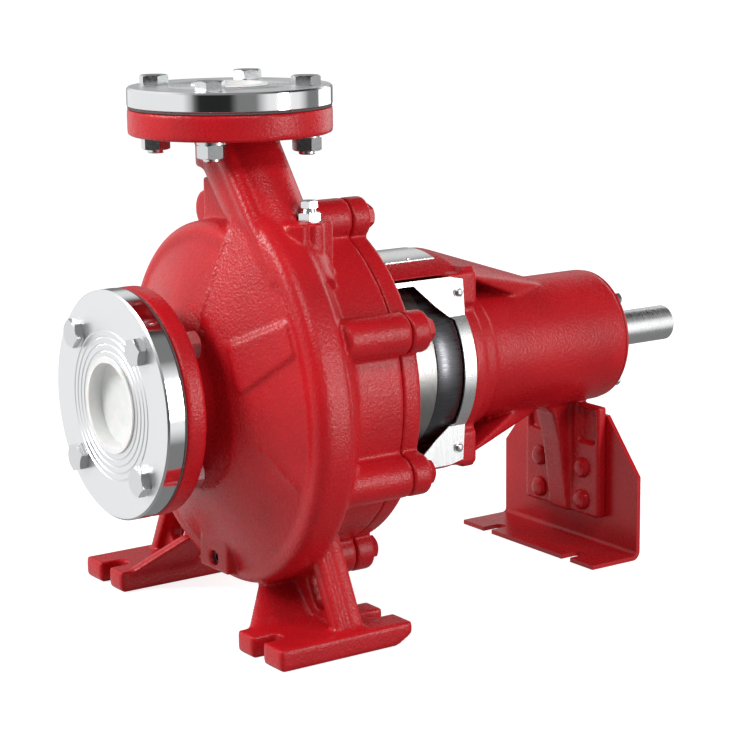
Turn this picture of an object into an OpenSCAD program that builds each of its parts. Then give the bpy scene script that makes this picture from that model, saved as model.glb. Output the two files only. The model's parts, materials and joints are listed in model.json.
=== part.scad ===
// Bare-shaft end-suction water pump, nominal size 65-50-250, on cast feet.
// X runs along the shaft from the suction to the drive end, Z is up, and the base plane is Z = 0.
// X = 0 is the centreline of the discharge flange and Y = 0 is the shaft plane.

/* [Main sizes] */
// Suction flange face to discharge centreline
suction_reach = 100; // [95:1:110]
// Base plane to shaft centreline
shaft_height = 190; // [186:1:200]
// Shaft centreline to discharge flange face
discharge_rise = 230; // [225:1:245]
// Discharge centreline to the end of the shaft
shaft_reach = 470; // [460:1:480]
// Diameter of the drive end of the shaft
drive_dia = 32; // [28:1:34]
// Length of the drive end of the shaft
drive_length = 80; // [70:1:82]

/* [Suction flange] */
// Outside diameter
suction_dia = 185; // [180:1:190]
// Bolt circle diameter
suction_pcd = 145; // [143:1:148]
// Bore of the casing at the suction
suction_bore = 65; // [60:1:68]
// Thickness of the cast flange
suction_thick = 18; // [16:1:20]
// Outside diameter of the suction neck
suction_neck_dia = 100; // [92:1:104]

/* [Discharge flange] */
// Outside diameter
discharge_dia = 165; // [160:1:170]
// Bolt circle diameter
discharge_pcd = 125; // [122:1:128]
// Bore of the casing at the discharge
discharge_bore = 50; // [46:1:54]
// Thickness of the cast flange
discharge_thick = 21.5; // [18:0.5:24]
// Outside diameter of the leaning neck
discharge_neck_dia = 66; // [64:1:70]

/* [Companion flanges] */
// Thickness of the plated companion flanges
companion_thick = 15.5; // [14:0.5:18]
// Thickness of the flange gaskets
gasket_thick = 1.5; // [1:0.5:2.5]
// Thread bore of the suction companion flange
suction_thread_dia = 75; // [72:1:76]
// Thread bore of the discharge companion flange
discharge_thread_dia = 59; // [56:1:60]
// Depth of the gramophone grooves
groove_depth = 0.7; // [0.4:0.1:1.2]
// Thread size of the flange bolts
flange_bolt_dia = 14; // [12:1:14]
// Width across flats of the flange bolt heads and nuts
flange_hex = 21; // [20:1:22]
// Height of a flange bolt head
flange_head = 8; // [7:0.5:10]
// Height of a flange nut
flange_nut = 11; // [9:0.5:12]
// Thickness of a flange washer
washer_thick = 2.5; // [2:0.5:3]

/* [Volute] */
// Radius of the first of the four arcs of the spiral
volute_radius = 132.5; // [132:0.5:134]
// Front face of the casing, measured back from the discharge centreline
volute_front = 58; // [56:1:60]
// Ridge where the front cone turns into the outer wall
volute_ridge = 30; // [29:1:32]
// Radius of the ridge
ridge_round = 12; // [9:1:13]
// Wall of the volute
volute_wall = 10; // [8:1:11]
// Width of the volute passage
passage_width = 19; // [17:1:20]

/* [Casing joint] */
// Joint face between casing and bracket, from the discharge centreline
joint_face = 68; // [66:1:72]
// Radius of the round joint collar
collar_radius = 143; // [142:1:145]
// Bolt circle diameter of the joint
joint_pcd = 302; // [300:1:306]
// Number of joint screws
joint_screws = 8; // [8:1:8]
// Radius of a joint lobe
lobe_radius = 17; // [15:1:18]
// Thread size of the joint screws
joint_screw_dia = 12; // [10:1:12]
// Width across flats of the joint screws
joint_hex = 18; // [17:1:20]
// Thickness of the bracket's joint flange
joint_thick = 18; // [16:1:20]
// Spigot diameter of the casing cover
spigot_dia = 265; // [264:1:266]

/* [Feet] */
// Overall width over the feet
feet_width = 320; // [310:1:330]
// Width of one foot
foot_width = 65; // [60:1:70]
// Length of one foot
foot_length = 125; // [120:1:130]
// Thickness of a foot
foot_thick = 18; // [16:1:20]
// Offset of the feet behind the discharge centreline
foot_offset = 0; // [0:1:8]
// Bolt spacing across the feet
foot_pitch_y = 250; // [246:1:254]
// Bolt spacing along the feet
foot_pitch_x = 95; // [90:1:100]
// Width of the open bolt slots
foot_slot = 15; // [14:0.5:18]

/* [Bracket] */
// Radius of the lantern over its two arms
lantern_radius = 97; // [95:1:99]
// Half height of the side windows
window_half = 81; // [79:1:82]
// Front face of the wall behind the windows
wall_face = 190; // [188:1:194]
// Thickness of that wall
wall_thick = 14; // [12:1:14]
// Outside diameter of the bearing housing
housing_dia = 119; // [117:1:122]
// End face of the bearing housing
housing_end = 373; // [372:1:375]
// Front face of the lug that carries the support foot
lug_face = 346; // [344:1:347]
// Half width of the lug
lug_half = 52; // [48:1:56]

/* [Guards and plate] */
// Radius of the guard's bulge round the bearing cover
guard_radius = 77; // [76:1:80]
// Distance of the guard's flat ears from the shaft plane
guard_ear = 60; // [59:1:62]
// Thickness of the guard sheet
guard_thick = 1.5; // [1:0.5:2]
// Length of the bare name plate
plate_length = 50; // [46:1:54]
// Width of the bare name plate
plate_width = 60; // [50:1:64]

/* [Support foot] */
// Width of the support foot
support_width = 188; // [180:1:196]
// Length of its base flange
support_length = 55; // [50:1:60]
// Thickness of its sheet
support_thick = 4; // [3:0.5:5]
// Height of its web
support_height = 125; // [120:1:128]
// Height of the web's upright edges
support_shoulder = 76; // [70:1:82]
// Half spacing of the base slots
support_slot_half = 57; // [54:1:60]

/* [Rotor] */
// Impeller diameter
impeller_dia = 244; // [238:1:246]
// Number of impeller vanes
vanes = 6; // [5:1:7]
// Impeller outlet width
outlet_width = 12; // [10:1:13]
// Outlet angle of the vanes
vane_angle = 25; // [22:1:30]
// Bearing bore
bearing_bore = 40; // [40:1:40]
// Bearing outside diameter
bearing_dia = 90; // [90:1:90]
// Bearing width
bearing_width = 23; // [23:1:23]
// Ball diameter
ball_dia = 15; // [14.6:0.1:15]
// Number of balls
balls = 8; // [7:1:8]
// Running clearance between pieces that move past each other
run_gap = 0.3; // [0.25:0.05:0.4]

/* [Vent and drain] */
// Distance of the vent behind the discharge centreline
vent_x = 14; // [12:1:16]
// Distance of the vent from the shaft plane, on the near side
vent_y = 92; // [90:1:94]
// Height of the vent boss above the shaft
vent_rise = 146; // [144:1:150]
// Width across flats of the vent body
vent_hex = 17; // [16:1:19]
// Drain hole diameter
drain_dia = 12; // [10:1:13]

/* [Hidden] */
$fn = 72;
eps = 0.01;
fit = 0.1;
suction_x = -suction_reach;
suction_r = suction_dia / 2;
suction_back = suction_x + suction_thick;
suction_front = suction_x - gasket_thick - companion_thick;
discharge_z = shaft_height + discharge_rise;
discharge_under = discharge_z - discharge_thick;
discharge_top = discharge_z + gasket_thick + companion_thick;
drive_r = drive_dia / 2;
drive_start = shaft_reach - drive_length;
neck_r = discharge_neck_dia / 2;
neck_foot = [0, -84, discharge_z - 120];
neck_end = [0, -102, discharge_z - 142];
neck_head = [0, 0, discharge_under + 4];
neck_top = [2, -4, discharge_under - 6];
neck_ridge = [[-24, -108, 292], [-24, -26, 392]];
// The spiral grows in four arcs, each given as centre Y, centre Z, radius, first angle and sweep.
// Angles are directions from the centre, from +Y towards +Z. All joints but the first are
// tangent: the first arc and the last meet at the tongue, in the plane Y = tongue_y.
volute_arcs = [
    [-2, 7, volute_radius, 0, 180],
    [-30, 7, volute_radius + 28, -90, 90],
    [-30, -14.5, volute_radius + 6.5, -180, 90],
    [29.5, -14.5, volute_radius + 66, 90, 90]
];
tongue_y = -47;
front_depth = 82;
shoulder = 22;
passage_front = -20;
passage_back = passage_front + passage_width;
chamber_r = impeller_dia / 2 + 2.5;
lobe_r = joint_pcd / 2;
lobe_start = 8;
lobe_phase = 22.5;
bracket_back = joint_face + joint_thick;
housing_r = housing_dia / 2;
wall_back = wall_face + wall_thick;
cover_rim = 10;
joint_gasket = 1;
cover_front = 16;
cover_web = 12;
drum_r = 76;
drum_end = 150;
seal_bore_r = 40;
lug_thick = 10;
lug_back = lug_face + lug_thick;
lug_top = 133;
lug_bottom = 30;
lug_bolt_y = 30;
lug_bolt_z = [44, 74];
web_face = lug_back;
web_back = web_face + support_thick;
base_front = web_back - support_length;
front_bearing = wall_back + 2;
rear_bearing = housing_end - 10 - bearing_width;
pitch_r = (bearing_bore + bearing_dia) / 4;
ball_r = ball_dia / 2;
race_r = ball_r + 0.35;
vane_front = -15;
vane_back = vane_front + outlet_width;
eye_r = 36;
eye_ring_r = 42;
ring_r = 48;
back_ring_r = 45;
impeller_seat_r = 14;
sleeve_seat_r = 17.5;
sleeve_r = 20;
impeller_tail = 28;
nut_front = -40;
vent_z = shaft_height + vent_rise;
drain_y = -20;
drain_z = shaft_height - 135;
lug_plate_front = -38;
guard_screw_x = 183;
guard_screw_z = 67;

// Children drawn round local Z come to lie round the shaft, with local Z along X.
module about_shaft() {
    translate([0, 0, shaft_height]) rotate([0, 90, 0]) children();
}

// A turned piece from its half section, points given as [radius, x].
module turned(points) {
    about_shaft() rotate_extrude() polygon(points);
}

// A plain ring on the shaft line.
module ring(r_in, r_out, x_from, x_to) {
    turned([[r_in, x_from], [r_out, x_from], [r_out, x_to], [r_in, x_to]]);
}

// Copies set out on a circle round the shaft, angles counted from +Y towards +Z.
module round_shaft(radius, count, phase, x) {
    for (i = [0 : count - 1])
        translate([x, 0, shaft_height])
            rotate([phase + i * 360 / count, 0, 0])
                translate([0, radius, 0]) rotate([0, 90, 0]) children();
}

// Copies on the bolt circle of the upright discharge flange.
module round_discharge(z) {
    for (i = [0 : 3])
        rotate([0, 0, 45 + i * 90]) translate([discharge_pcd / 2, 0, z]) children();
}

// A cylinder whose axis runs from point p to point q.
module between(p, q, r1, r2) {
    d = q - p;
    translate(p)
        rotate([0, acos(d.z / norm(d)), atan2(d.y, d.x)])
            cylinder(h = norm(d), r1 = r1, r2 = r2);
}

// A hexagon with both ends turned off at 30 degrees.
module hexagon(flats, height) {
    corner = flats / sqrt(3);
    rise = (corner - flats / 2) * tan(30);
    intersection() {
        cylinder(h = height, r = corner, $fn = 6);
        rotate_extrude()
            polygon([[0, 0], [flats / 2, 0], [corner, rise], [corner, height - rise],
                     [flats / 2, height], [0, height]]);
    }
}

// A hexagon bolt along +Z: the head stands below Z = 0 and the shank above it.
module hex_bolt(flats, head, d, length) {
    translate([0, 0, -head]) hexagon(flats, head);
    translate([0, 0, -eps]) cylinder(h = length - 1 + eps, r = d / 2);
    translate([0, 0, length - 1]) cylinder(h = 1, r1 = d / 2, r2 = d / 2 - 1);
}

module hex_nut(flats, height, d) {
    difference() {
        hexagon(flats, height);
        translate([0, 0, -1]) cylinder(h = height + 2, r = d / 2 + fit);
    }
}

module washer(r_in, r_out, height) {
    difference() {
        cylinder(h = height, r = r_out);
        translate([0, 0, -1]) cylinder(h = height + 2, r = r_in);
    }
}

// Inner end of a section, never past the centre of its arc.
function section_foot(r) = max(r - 110, 1);

// Half section of the volute: front cone, rounded ridge, outer wall, sloping rear shoulder.
// The points are [distance from the arc's centre, x], and proud lifts the front face.
function volute_section(r, proud = 0) = concat(
    [[section_foot(r), -volute_front - proud], [r - front_depth, -volute_front - proud]],
    [for (t = [-20 : 22 : 90])
        [r - ridge_round + (ridge_round + proud) * sin(t),
         ridge_round - volute_ridge - (ridge_round + proud) * cos(t)]],
    [[r + proud, -1], [r - 1, 2], [r - 4, 5], [r - shoulder, shoulder],
     [section_foot(r), shoulder]]
);

function passage_section(r) = [
    [section_foot(r), passage_front], [r - volute_wall - 6, passage_front],
    [r - volute_wall, passage_front + 6], [r - volute_wall, passage_back - 4],
    [r - volute_wall - 4, passage_back], [section_foot(r), passage_back]
];

module volute_arc(arc, section) {
    translate([0, arc[0], shaft_height + arc[1]])
        rotate([0, 90, 0]) rotate([0, 0, arc[3] + 90])
            rotate_extrude(angle = arc[4]) polygon(section);
}

// What lies on the far side of a plane Y = const, or on its near side.
module far_of(y) {
    intersection() {
        children();
        translate([-80, y, 0]) cube([120, 300, 450]);
    }
}

module near_of(y) {
    intersection() {
        children();
        translate([-80, y - 300, 0]) cube([120, 300, 450]);
    }
}

// A prism along X whose YZ outline is given as [radius, angle] pairs.
module front_prism(corners) {
    translate([-80, 0, shaft_height]) rotate([90, 0, 90])
        linear_extrude(height = 70)
            polygon([for (c = corners) [c[0] * cos(c[1]), c[0] * sin(c[1])]]);
}

// Raised pad and thin cast lines on the front cone.
module casing_relief() {
    near_arc = volute_arcs[3];
    low_arc = volute_arcs[2];
    intersection() {
        volute_arc(near_arc, volute_section(near_arc[2], 3));
        front_prism([[148, 149], [148, 159.5], [96, 170], [95, 146]]);
    }
    intersection() {
        volute_arc(near_arc, volute_section(near_arc[2], 2));
        front_prism([[148, 108.6], [148, 109.8], [76, 127.2], [76, 125]]);
    }
    intersection() {
        volute_arc(low_arc, volute_section(low_arc[2], 2));
        front_prism([[116, 191.3], [150, 200.2], [150, 201.3], [116, 192.7]]);
    }
}

module foot_slot_cut(x_end, x_hole, y) {
    translate([x_hole, y, -1]) cylinder(h = foot_thick + 2, r = foot_slot / 2);
    translate([min(x_end, x_hole), y - foot_slot / 2, -1])
        cube([abs(x_end - x_hole), foot_slot, foot_thick + 2]);
}

// One foot with its web, its fluted outer flange and its front gusset; side is -1 near, 1 far.
module casing_leg(side) {
    front = foot_offset - foot_length / 2;
    back = foot_offset + foot_length / 2;
    outer = feet_width / 2;
    inner = outer - foot_width;
    hole_y = foot_pitch_y / 2;
    mirror([0, side < 0 ? 1 : 0, 0]) {
        difference() {
            translate([0, outer, 0]) rotate([90, 0, 0])
                linear_extrude(height = foot_width)
                    polygon([[front + 3, 0], [back - 14, 0], [back, 8], [back, foot_thick],
                             [front, foot_thick], [front, 3]]);
            foot_slot_cut(front - 1, foot_offset - foot_pitch_x / 2, hole_y);
            foot_slot_cut(back + 1, foot_offset + foot_pitch_x / 2, hole_y);
        }
        difference() {
            translate([3, 0, 0]) rotate([90, 0, 90])
                linear_extrude(height = 12)
                    polygon([[inner, foot_thick - 1], [outer - 12, foot_thick - 1],
                             [outer - 43, 81], [60, 95], [60, 50]]);
            for (t = [-6, 0, 6])
                translate([-5, 111 - t * 0.5, 43 + t]) rotate([0, 90, 0])
                    cylinder(h = 30, r = 10);
        }
        translate([-4, 0, 0]) rotate([90, 0, 90])
            linear_extrude(height = 27)
                polygon([[outer - 22, foot_thick - 1], [outer - 10, foot_thick - 1],
                         [outer - 45, 88], [outer - 57, 88]]);
        for (x = [0, 7])
            translate([x, 0, 0]) rotate([90, 0, 90])
                linear_extrude(height = 3)
                    polygon([[outer - 14, foot_thick - 1], [outer - 8, foot_thick - 1],
                             [outer - 43, 88], [outer - 49, 88]]);
        hull() {
            translate([front + 11, inner - 2, foot_thick - 2]) cube([60, 12, 1]);
            translate([front + 46, 58, 49]) cube([25, 12, 1]);
        }
    }
}

module casing_outside() {
    far_of(tongue_y) volute_arc(volute_arcs[0], volute_section(volute_arcs[0][2]));
    for (i = [1, 2]) volute_arc(volute_arcs[i], volute_section(volute_arcs[i][2]));
    near_of(tongue_y) volute_arc(volute_arcs[3], volute_section(volute_arcs[3][2]));
    casing_relief();
    // Collar and joint lobes
    turned([[60, 6], [collar_radius - 6, 6], [collar_radius, 12], [collar_radius, joint_face],
            [60, joint_face]]);
    round_shaft(lobe_r, joint_screws, lobe_phase, lobe_start)
        cylinder(h = joint_face - lobe_start, r = lobe_radius);
    // Suction neck and flange
    neck = suction_neck_dia / 2;
    turned([[0, suction_x + 1], [suction_r - 1, suction_x + 1], [suction_r, suction_x + 2],
            [suction_r, suction_back - 1], [suction_r - 1, suction_back],
            [neck + 6, suction_back], [neck + 1, suction_back + 4], [neck, suction_back + 8],
            [neck + 2, -volute_front - 8], [neck + 6, -volute_front - 3],
            [neck + 12, -volute_front], [neck + 25, -volute_front + 8],
            [neck + 25, -volute_front + 20], [0, -volute_front + 20]]);
    ring(suction_bore / 2 - 5, suction_r - 1, suction_x, suction_x + 2);
    // Discharge neck and flange
    between(neck_end, neck_top, neck_r - 4, neck_r);
    translate([2, -1, discharge_under - 26]) cylinder(h = 30, r = neck_r - 2);
    translate([0, 0, discharge_under]) cylinder(h = discharge_thick, r = discharge_dia / 2);
    translate([2, -5, discharge_under - 8]) cylinder(h = 10, r1 = neck_r, r2 = neck_r + 6);
    // Ridge down the near side of the neck
    between(neck_ridge[0], neck_ridge[1], 8, 8);
    // Boss on the far side of the neck
    translate([-8, -30, shaft_height + 125]) cube([20, 64, 46]);
    // Vent boss, a block with upright facets and a groove between them
    translate([vent_x, -vent_y, vent_z - 58])
        linear_extrude(height = 58)
            polygon([[-24, 34], [-24, -6], [-16, -15], [-11, -15], [-9, -11.5], [-5, -15],
                     [3, -15], [6, -12], [18, -8], [18, 34]]);
    // Panel below the suction neck, ending in the drain lug
    translate([0, drain_y + 19, 0]) rotate([90, 0, 0])
        linear_extrude(height = 38)
            polygon([[lug_plate_front, drain_z - 10], [lug_plate_front, drain_z + 17],
                     [-volute_front - 6, shaft_height - 46], [-20, shaft_height - 46],
                     [-20, drain_z - 10]]);
    translate([lug_plate_front, drain_y - 22, drain_z - 10]) cube([12, 44, 25]);
    for (side = [-1, 1]) casing_leg(side);
}

module casing_inside() {
    // Suction bore, wear ring seat, impeller chamber and cover register
    turned([[0, suction_x - 1], [suction_bore / 2, suction_x - 1], [suction_bore / 2, -50],
            [ring_r + fit, -50], [ring_r + fit, -34], [chamber_r, passage_front - 2],
            [chamber_r, joint_face - cover_rim - joint_gasket],
            [spigot_dia / 2 + fit, joint_face - cover_rim - joint_gasket],
            [spigot_dia / 2 + fit, joint_face + 1], [0, joint_face + 1]]);
    difference() {
        union() {
            for (i = [1, 2]) volute_arc(volute_arcs[i], passage_section(volute_arcs[i][2]));
            near_of(tongue_y - volute_wall)
                volute_arc(volute_arcs[3], passage_section(volute_arcs[3][2]));
        }
        ring(0, ring_r + 14, -50, 30);
    }
    // Diffuser and discharge bore
    between(neck_foot + [-10, 0, 0], neck_head, 13, discharge_bore / 2 - 2);
    translate([0, 0, discharge_under - 4]) cylinder(h = 40, r = discharge_bore / 2);
}

module volute_casing() {
    color("crimson") difference() {
        casing_outside();
        casing_inside();
        round_shaft(suction_pcd / 2, 4, 45, suction_x - 1)
            cylinder(h = suction_thick + 2, r = flange_bolt_dia / 2 + 1);
        round_discharge(discharge_under - 9)
            cylinder(h = discharge_thick + 10, r = flange_bolt_dia / 2 + 1);
        round_shaft(lobe_r, joint_screws, lobe_phase, joint_face - 26)
            cylinder(h = 27, r = joint_screw_dia / 2 + fit);
        translate([vent_x, -vent_y, vent_z - 14]) cylinder(h = 20, r = 5 + fit);
        translate([vent_x, -vent_y, vent_z]) cylinder(h = 30, r = vent_hex / sqrt(3) + 0.7);
        translate([lug_plate_front - 1, drain_y, drain_z]) rotate([0, 90, 0])
            cylinder(h = 13, r = drain_dia / 2);
    }
}

module casing_wear_ring() {
    color("goldenrod") ring(eye_ring_r + run_gap, ring_r, -49, -36);
}

module cover_wear_ring() {
    color("goldenrod") ring(back_ring_r + run_gap, back_ring_r + 5, 8, cover_front + 4);
}

module casing_gasket() {
    color("dimgray")
        ring(spigot_dia / 2 - 5, spigot_dia / 2, joint_face - cover_rim - joint_gasket,
             joint_face - cover_rim);
}

// Dished cover with a drum round the seal chamber, open to the rear like a casting.
module casing_cover() {
    back = cover_front + cover_web;
    skirt_r = chamber_r - fit;
    seat_r = 32;
    color("silver") difference() {
        turned([[25, drum_end - 12], [25, drum_end], [50, drum_end], [50, back + 12],
                [60, back], [66, back], [66, drum_end], [drum_r - 1, drum_end],
                [drum_r, drum_end - 1], [drum_r, back + 6], [drum_r + 6, back],
                [skirt_r - 18, back], [skirt_r - 12, back + 6],
                [skirt_r - 14, joint_face], [spigot_dia / 2, joint_face],
                [spigot_dia / 2, joint_face - cover_rim], [skirt_r, joint_face - cover_rim],
                [skirt_r, cover_front + 1], [skirt_r - 1, cover_front],
                [32, cover_front], [32, back], [seal_bore_r, back + 6],
                [seal_bore_r, drum_end - 12]]);
        ring(20, back_ring_r + 5 + fit, cover_front - 1, cover_front + 4);
        ring(20, seat_r, drum_end - 13, drum_end - 6);
    }
}

// Tapered arm between the lantern and the bearing housing; side is 1 above, -1 below.
module bracket_arm(side) {
    tip = wall_face + 112;
    edge = sqrt(lantern_radius * lantern_radius - window_half * window_half);
    translate([0, 0, shaft_height]) mirror([0, 0, side < 0 ? 1 : 0]) intersection() {
        rotate([0, 90, 0]) union() {
            translate([0, 0, joint_face + 4])
                cylinder(h = wall_face - joint_face - 4, r = lantern_radius);
            translate([0, 0, wall_face])
                cylinder(h = tip - wall_face, r1 = lantern_radius, r2 = housing_r + 1);
        }
        linear_extrude(height = lantern_radius + 5)
            polygon([[joint_face, -edge - 1], [wall_face, -edge - 1], [tip, -22], [tip, 22],
                     [wall_face, edge + 1], [joint_face, edge + 1]]);
        translate([0, edge + 2, 0]) rotate([90, 0, 0])
            linear_extrude(height = 2 * edge + 4)
                polygon([[joint_face, window_half], [wall_face, window_half], [tip, 38],
                         [tip, lantern_radius + 5], [joint_face, lantern_radius + 5]]);
    }
}

module bracket_outside() {
    turned([[lantern_radius - 14, joint_face], [collar_radius - 1, joint_face],
            [collar_radius - 1, bracket_back - 2], [collar_radius - 4, bracket_back],
            [lantern_radius + 8, bracket_back], [lantern_radius, bracket_back + 8],
            [lantern_radius - 14, bracket_back + 2]]);
    round_shaft(lobe_r, joint_screws, lobe_phase, joint_face)
        cylinder(h = joint_thick, r = lobe_radius);
    for (side = [-1, 1]) bracket_arm(side);
    // Wall behind the windows, cheeks for the guards, collar and bearing housing
    half_y = guard_ear - guard_thick - 3;
    translate([wall_face, -half_y, shaft_height - window_half - 6])
        cube([wall_thick, 2 * half_y, 2 * window_half + 12]);
    for (sy = [-1, 1], sz = [-1, 1])
        translate([guard_screw_x - 9, sy * (guard_ear - guard_thick - 8) - 8,
                   shaft_height + sz * (guard_screw_z + 2) - 14])
            cube([wall_back - guard_screw_x + 9, 16, 28]);
    turned([[10, wall_face + 2], [74, wall_face + 2], [74, wall_back], [66, wall_back + 4],
            [66, wall_back + 17], [64, wall_back + 19], [housing_r, wall_back + 21],
            [housing_r, housing_end - 1], [housing_r - 1, housing_end], [10, housing_end]]);
    // Lug for the support foot: pocketed plate and central rib
    difference() {
        translate([lug_face, -lug_half, lug_bottom])
            cube([lug_thick, 2 * lug_half, lug_top - lug_bottom]);
        for (side = [-1, 1])
            translate([lug_face - 1, side * 34 - 12, 98]) cube([6, 24, 32]);
    }
    translate([0, 13, 0]) rotate([90, 0, 0])
        linear_extrude(height = 26)
            polygon([[lug_face - 38, shaft_height - housing_r + 8],
                     [lug_back, shaft_height - housing_r + 8], [lug_back, lug_bottom],
                     [lug_face - 3, lug_bottom], [lug_face - 12, 96], [lug_face - 20, 124]]);
}

module bearing_bracket() {
    color("crimson") difference() {
        bracket_outside();
        round_shaft(lobe_r, joint_screws, lobe_phase, joint_face - 1)
            cylinder(h = joint_thick + 2, r = joint_screw_dia / 2 + 0.5);
        // Bearing seats and the bore between them
        turned([[0, wall_face - 1], [bearing_dia / 2 - 5, wall_face - 1],
                [bearing_dia / 2 - 5, front_bearing - 2], [bearing_dia / 2, front_bearing - 2],
                [bearing_dia / 2, front_bearing + bearing_width],
                [bearing_dia / 2 - 4, front_bearing + bearing_width],
                [bearing_dia / 2 - 4, rear_bearing], [bearing_dia / 2, rear_bearing],
                [bearing_dia / 2, housing_end + 1], [0, housing_end + 1]]);
        for (y = [-lug_bolt_y, lug_bolt_y], z = lug_bolt_z)
            translate([lug_face - 1, y, z]) rotate([0, 90, 0])
                cylinder(h = lug_thick + 2, r = 5.5);
        translate([lug_face - 30, 0, 106]) rotate([90, 0, 0])
            translate([0, 0, 6]) cylinder(h = 10, r = 3.5);
        for (sy = [-1, 1], sz = [-1, 1])
            translate([guard_screw_x, sy * guard_ear, shaft_height + sz * guard_screw_z])
                rotate([sy * 90, 0, 0]) cylinder(h = 14, r = 2.5 + fit);
        round_shaft(56, 4, 45, wall_face - 1) cylinder(h = 11, r = 3 + fit);
        round_shaft(52, 4, 45, housing_end - 10) cylinder(h = 11, r = 3 + fit);
    }
}

module casing_screws() {
    color("crimson")
        round_shaft(lobe_r, joint_screws, lobe_phase, bracket_back)
            rotate([0, 180, 0])
                hex_bolt(joint_hex, 8, joint_screw_dia, joint_thick + 24);
}

// Outline of a guard in the XZ plane: narrow in the middle, with an ear above and below.
function guard_outline() = let (e = wall_face, h = window_half)
    [[e - 74, h], [e - 16, h], [e - 2, h - 3], [e, h - 35], [e, 35 - h], [e - 2, 3 - h],
     [e - 16, -h], [e - 74, -h], [e - 74, 4 - h], [e - 53, 4 - h], [e - 30, 24 - h],
     [e - 12, 37 - h], [e - 12, h - 37], [e - 30, h - 24], [e - 53, h - 4], [e - 74, h - 4]];

// Sheet guard: a bulge round the bearing cover between two flat ears; side is -1 near, 1 far.
module guard(side) {
    fold = sqrt(guard_radius * guard_radius - guard_ear * guard_ear);
    color("lightgray") mirror([0, side > 0 ? 1 : 0, 0]) difference() {
        intersection() {
            translate([0, 0, shaft_height]) rotate([90, 0, 0])
                linear_extrude(height = guard_radius + 5) polygon(guard_outline());
            union() {
                difference() {
                    ring(guard_radius - guard_thick, guard_radius, 100, wall_face + 1);
                    translate([99, -guard_radius - 1, shaft_height + fold - 1])
                        cube([wall_face, 2 * guard_radius, 60]);
                    translate([99, -guard_radius - 1, shaft_height - fold - 59])
                        cube([wall_face, 2 * guard_radius, 60]);
                }
                for (low = [fold - 1, -window_half - 1])
                    translate([100, -guard_ear, shaft_height + low])
                        cube([wall_face - 99, guard_thick, window_half - fold + 2]);
            }
        }
        for (sz = [-1, 1])
            translate([guard_screw_x, 0, shaft_height + sz * guard_screw_z])
                rotate([90, 0, 0]) cylinder(h = guard_radius + 5, r = 3);
    }
}

module guard_near() { guard(-1); }

module guard_far() { guard(1); }

module guard_screws() {
    color("silver")
        for (sy = [-1, 1], sz = [-1, 1])
            translate([guard_screw_x, sy * guard_ear, shaft_height + sz * guard_screw_z])
                rotate([sy * 90, 0, 0]) {
                    cylinder(h = 12, r = 2.5);
                    rotate([180, 0, 0]) rotate_extrude()
                        polygon([[0, 0], [4.8, 0], [4.8, 0.8], [3.6, 0.8], [3.5, 2.2],
                                 [2.6, 3.2], [1.4, 3.6], [0, 3.7]]);
                }
}

// Bare plate bent over the crown of the upper arm.
module name_plate() {
    half = plate_width / 2;
    color("silver") intersection() {
        ring(lantern_radius + 0.05, lantern_radius + 0.85, 155 - plate_length / 2,
             155 + plate_length / 2);
        translate([100, -half, shaft_height + 50]) cube([100, plate_width, 80]);
    }
}

module name_plate_rivets() {
    lean = asin((plate_width / 2 - 3.5) / lantern_radius);
    color("silver")
        for (a = [90 - lean, 90 + lean])
            translate([155, 0, shaft_height]) rotate([a, 0, 0])
                translate([0, lantern_radius + 0.85, 0]) rotate([-90, 0, 0])
                    cylinder(h = 1.2, r1 = 2.2, r2 = 1.2);
}

module support_foot() {
    half = support_width / 2;
    bend = 8;
    color("crimson") difference() {
        union() {
            translate([base_front, -half, 0])
                cube([support_length - bend, support_width, support_thick]);
            translate([web_face, 0, 0]) rotate([90, 0, 90])
                linear_extrude(height = support_thick)
                    polygon([[-half, bend], [half, bend], [half, support_shoulder],
                             [lug_half, support_height], [-lug_half, support_height],
                             [-half, support_shoulder]]);
            translate([web_back - bend, half, bend]) rotate([90, 0, 0])
                rotate([0, 0, -90]) intersection() {
                    difference() {
                        cylinder(h = support_width, r = bend);
                        translate([0, 0, -1])
                            cylinder(h = support_width + 2, r = bend - support_thick);
                    }
                    cube([bend, bend, support_width]);
                }
        }
        for (y = [-support_slot_half, support_slot_half]) {
            translate([base_front + 14, y, -1]) cylinder(h = support_thick + 2, r = 6);
            translate([base_front - 1, y - 6, -1]) cube([15, 12, support_thick + 2]);
        }
        for (y = [-lug_bolt_y, lug_bolt_y], z = lug_bolt_z)
            translate([web_face - 1, y, z]) rotate([0, 90, 0])
                cylinder(h = support_thick + 2, r = 5.5);
    }
}

module support_foot_bolts() {
    grip = lug_thick + support_thick + 12;
    color("crimson")
        for (y = [-lug_bolt_y, lug_bolt_y], z = lug_bolt_z)
            translate([lug_face, y, z]) rotate([0, 90, 0]) rotate_extrude()
                polygon([[0, grip], [4.2, grip], [5, grip - 1], [5, 0], [9.6, 0], [9, -2.4],
                         [7, -4.4], [4, -5.6], [0, -6]]);
}

module support_foot_nuts() {
    color("crimson")
        for (y = [-lug_bolt_y, lug_bolt_y], z = lug_bolt_z)
            translate([web_back, y, z]) rotate([0, 90, 0]) hex_nut(17, 8, 10);
}

// Plated flange with gramophone grooves round a threaded bore, face towards local -Z.
module companion(dia, pcd, bore, grooves) {
    r = dia / 2;
    difference() {
        rotate_extrude()
            polygon([[bore / 2, 0], [r - 1.5, 0], [r, 1.5], [r, companion_thick - 1],
                     [r - 1, companion_thick], [bore / 2, companion_thick]]);
        for (i = [0 : 3])
            rotate([0, 0, 45 + i * 90]) translate([pcd / 2, 0, -1])
                cylinder(h = companion_thick + 2, r = flange_bolt_dia / 2 + 1);
        for (g = grooves)
            rotate_extrude()
                polygon([[g - 0.9, -1], [g + 0.9, -1], [g + 0.9, 0], [g, groove_depth],
                         [g - 0.9, 0]]);
    }
}

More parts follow.
